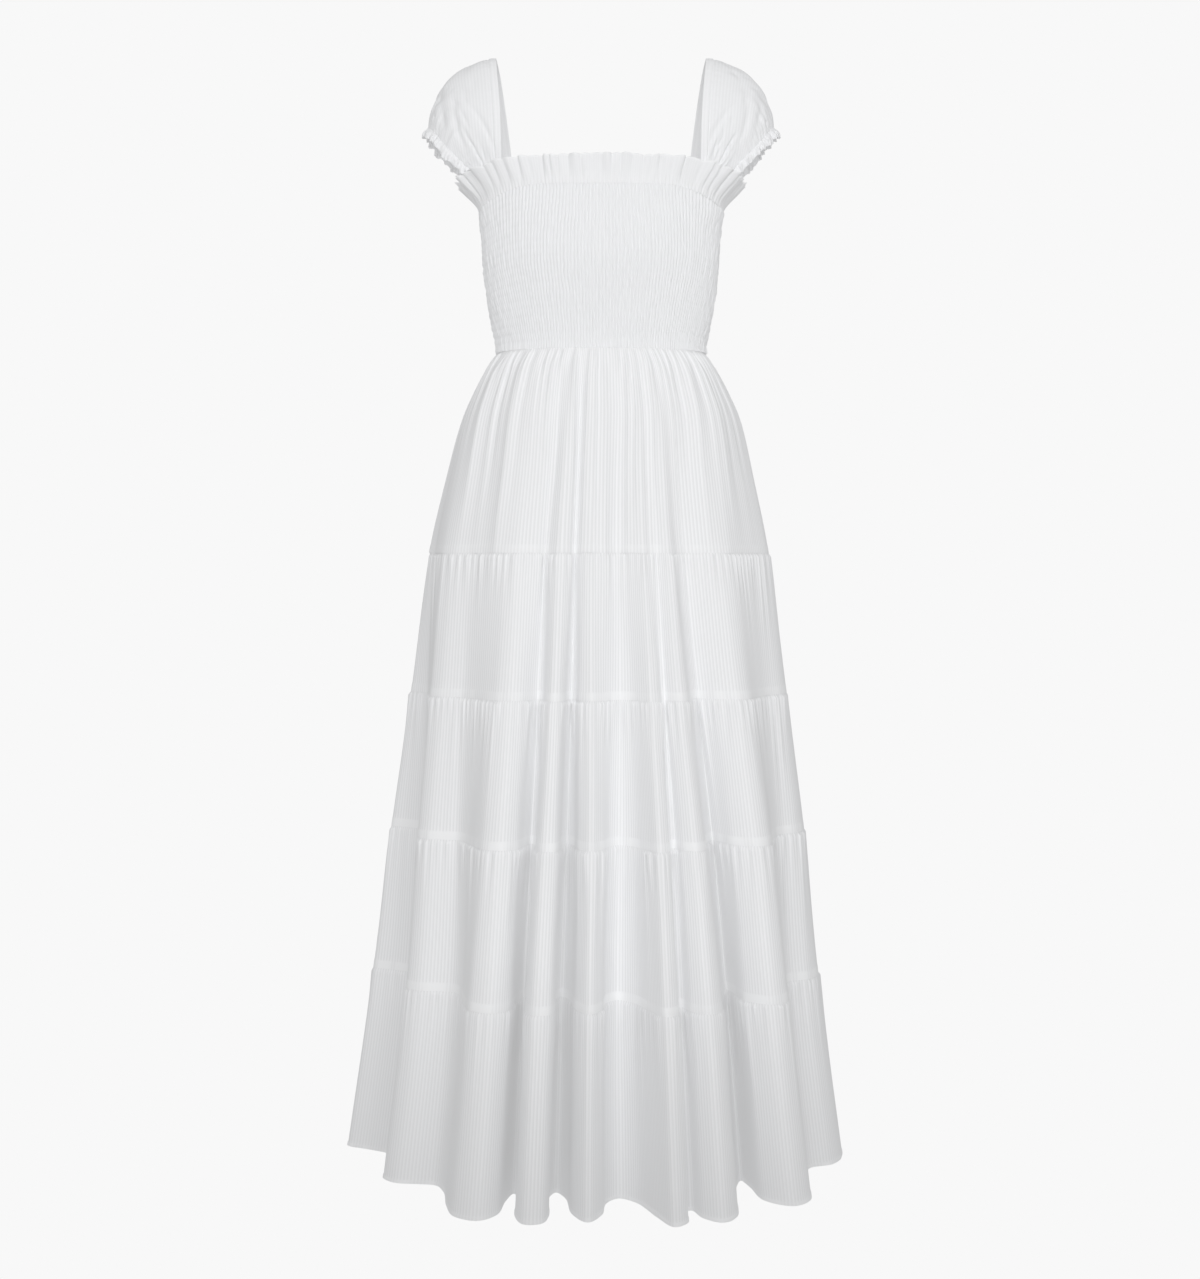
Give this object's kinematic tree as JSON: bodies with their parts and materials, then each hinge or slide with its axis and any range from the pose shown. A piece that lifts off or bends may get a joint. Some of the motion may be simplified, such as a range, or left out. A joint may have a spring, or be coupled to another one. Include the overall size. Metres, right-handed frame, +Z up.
{
  "type": "smocked dress",
  "caption": "Worn-form maxi dress: shirred bodice tube, ruffled square neck, puffed cap sleeves and a tiered skirt with deep folds, open at neck, armholes and hem.",
  "frame": {"origin": "midway between the tops of the two shoulders, where the wearer holds the dress up", "axes": "+Z up, the dress front faces -Y, +X is to the right as seen from the front"},
  "size_m": [0.6234, 0.5799, 1.37],
  "materials": {
    "shirred_cotton": "matte white cotton, elastic shirring",
    "ruffle_cotton": "matte white cotton",
    "striped_cotton": "matte white cotton with tone-on-tone woven stripes"
  },
  "bodies": {
    "root": {"bodice_front": "shirred_cotton", "bodice_back": "shirred_cotton", "neck_ruffle_front": "ruffle_cotton", "neck_ruffle_back": "ruffle_cotton", "sleeve_left": "striped_cotton", "sleeve_right": "striped_cotton", "sleeve_ruffle_left": "ruffle_cotton", "sleeve_ruffle_right": "ruffle_cotton", "tier_1_front": "striped_cotton", "tier_1_back": "striped_cotton", "tier_2_front": "striped_cotton", "tier_2_back": "striped_cotton", "tier_3_front": "striped_cotton", "tier_3_back": "striped_cotton", "tier_4_front": "striped_cotton", "tier_4_back": "striped_cotton", "tier_5_front": "striped_cotton", "tier_5_back": "striped_cotton"}
  },
  "joints": []
}
